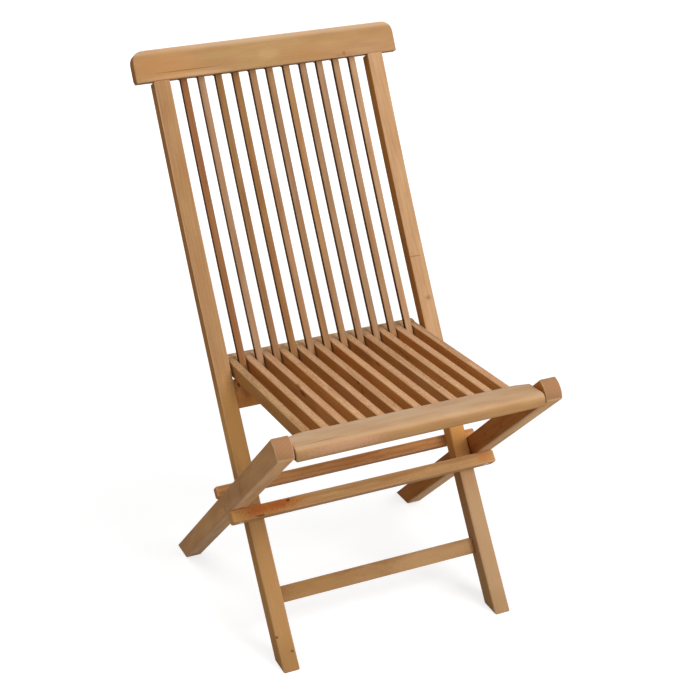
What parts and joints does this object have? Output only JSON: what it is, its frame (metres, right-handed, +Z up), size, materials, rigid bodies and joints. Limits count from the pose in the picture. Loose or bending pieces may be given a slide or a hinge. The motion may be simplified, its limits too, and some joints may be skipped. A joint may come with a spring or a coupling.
{
  "type": "folding chair",
  "caption": "Folding slatted teak chair with a scissor frame, a bowed slatted back and a slatted seat whose rear end slides up behind the back.",
  "frame": {"origin": "middle of the open chair's bounding box, on the floor", "axes": "+Z up, +Y to the rear, the sitter faces -Y, +X to the chair's own left-hand side as seen by the sitter turned to -Y, which is the right of a front view"},
  "size_m": [0.464, 0.6102, 0.8824],
  "materials": {
    "teak": "lightly oiled, fine straight grain",
    "teak_back_slat": "lightly oiled, tone differs from slat to slat",
    "teak_seat_slat": "lightly oiled, tone differs from slat to slat",
    "teak_bar": "lightly oiled, reddish end grain",
    "teak_plug": "lightly oiled end grain plug",
    "steel": "plain stainless hardware"
  },
  "bodies": {
    "back_frame": {"post_left": "teak", "post_right": "teak", "crest_rail": "teak", "lower_back_rail": "teak", "front_stretcher": "teak", "back_slat_01": "teak_back_slat", "back_slat_02": "teak_back_slat", "back_slat_03": "teak_back_slat", "back_slat_04": "teak_back_slat", "back_slat_05": "teak_back_slat", "back_slat_06": "teak_back_slat", "back_slat_07": "teak_back_slat", "back_slat_08": "teak_back_slat", "back_slat_09": "teak_back_slat", "back_slat_10": "teak_back_slat", "back_slat_11": "teak_back_slat", "pivot_bolt_left": "steel", "pivot_bolt_right": "steel", "pivot_washer_left": "steel", "pivot_washer_right": "steel"},
    "leg_frame": {"rear_leg_left": "teak", "rear_leg_right": "teak", "front_cross_bar": "teak_bar", "rear_cross_bar": "teak_bar", "pivot_plug_left": "teak_plug", "pivot_plug_right": "teak_plug", "seat_pin_left": "steel", "seat_pin_right": "steel", "seat_washer_left": "steel", "seat_washer_right": "steel", "front_bar_screw_left": "steel", "front_bar_screw_right": "steel", "rear_bar_screw_left": "steel", "rear_bar_screw_right": "steel"},
    "seat": {"seat_front_rail": "teak", "seat_rear_rail": "teak", "seat_slat_01": "teak_seat_slat", "seat_slat_02": "teak_seat_slat", "seat_slat_03": "teak_seat_slat", "seat_slat_04": "teak_seat_slat", "seat_slat_05": "teak_seat_slat", "seat_slat_06": "teak_seat_slat", "seat_slat_07": "teak_seat_slat", "seat_slat_08": "teak_seat_slat", "seat_slat_09": "teak_seat_slat", "seat_slat_10": "teak_seat_slat", "seat_slat_11": "teak_seat_slat", "seat_slat_12": "teak_seat_slat"}
  },
  "joints": [
    {"name": "fold_hinge", "type": "hinge", "parent": "back_frame", "child": "leg_frame", "pos_m": [0, -0.05221, 0.22559], "axis": [-1, 0, 0], "range_deg": [0, 71.5]},
    {"name": "seat_hinge", "type": "hinge", "parent": "leg_frame", "child": "seat", "pos_m": [0, -0.27526, 0.42859], "axis": [1, 0, 0], "range_deg": [0, 126.6]}
  ],
  "couplings": [
    {"joint": "seat_hinge", "follows": "fold_hinge", "ratio": 1.77}
  ]
}
